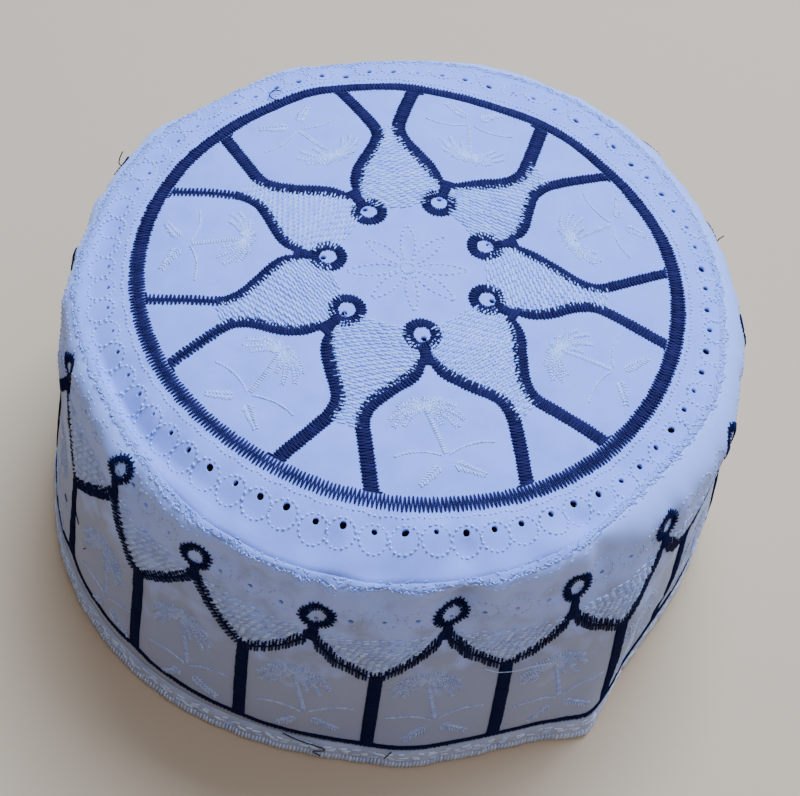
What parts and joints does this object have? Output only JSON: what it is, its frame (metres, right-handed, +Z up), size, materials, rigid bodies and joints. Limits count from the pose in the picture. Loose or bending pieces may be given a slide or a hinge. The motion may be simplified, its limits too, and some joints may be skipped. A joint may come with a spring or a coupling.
{
  "type": "kufi cap",
  "caption": "Round embroidered kufi cap with a flat, slightly domed crown, an upright side band and navy satin stitched arches on pale cloth.",
  "frame": {"origin": "centre of the cap's bounding box at the plane its hem rests on", "axes": "+Z up from the hem to the crown; the cap's front, as pictured, faces -Y"},
  "size_m": [0.1879, 0.1874, 0.0879],
  "materials": {
    "cloth": "matt woven cotton blend with a slight sheen, bluish white",
    "edging": "matt folded cloth edging with white stitching",
    "navy_thread": "satin embroidery thread, navy blue"
  },
  "bodies": {
    "root": {"crown_cloth": "cloth", "side_band": "cloth", "seam_edging": "edging", "hem_edging": "edging", "crown_ring": "navy_thread", "crown_arch_1": "navy_thread", "crown_arch_2": "navy_thread", "crown_arch_3": "navy_thread", "crown_arch_4": "navy_thread", "crown_arch_5": "navy_thread", "crown_arch_6": "navy_thread", "crown_arch_7": "navy_thread", "side_arch_1": "navy_thread", "side_arch_2": "navy_thread", "side_arch_3": "navy_thread", "side_arch_4": "navy_thread", "side_arch_5": "navy_thread", "side_arch_6": "navy_thread", "side_arch_7": "navy_thread", "side_arch_8": "navy_thread", "side_arch_9": "navy_thread", "side_arch_10": "navy_thread", "side_arch_11": "navy_thread", "side_arch_12": "navy_thread", "side_arch_13": "navy_thread", "side_arch_14": "navy_thread", "side_arch_15": "navy_thread", "side_arch_16": "navy_thread", "side_arch_17": "navy_thread", "hem_line": "navy_thread"}
  },
  "joints": []
}
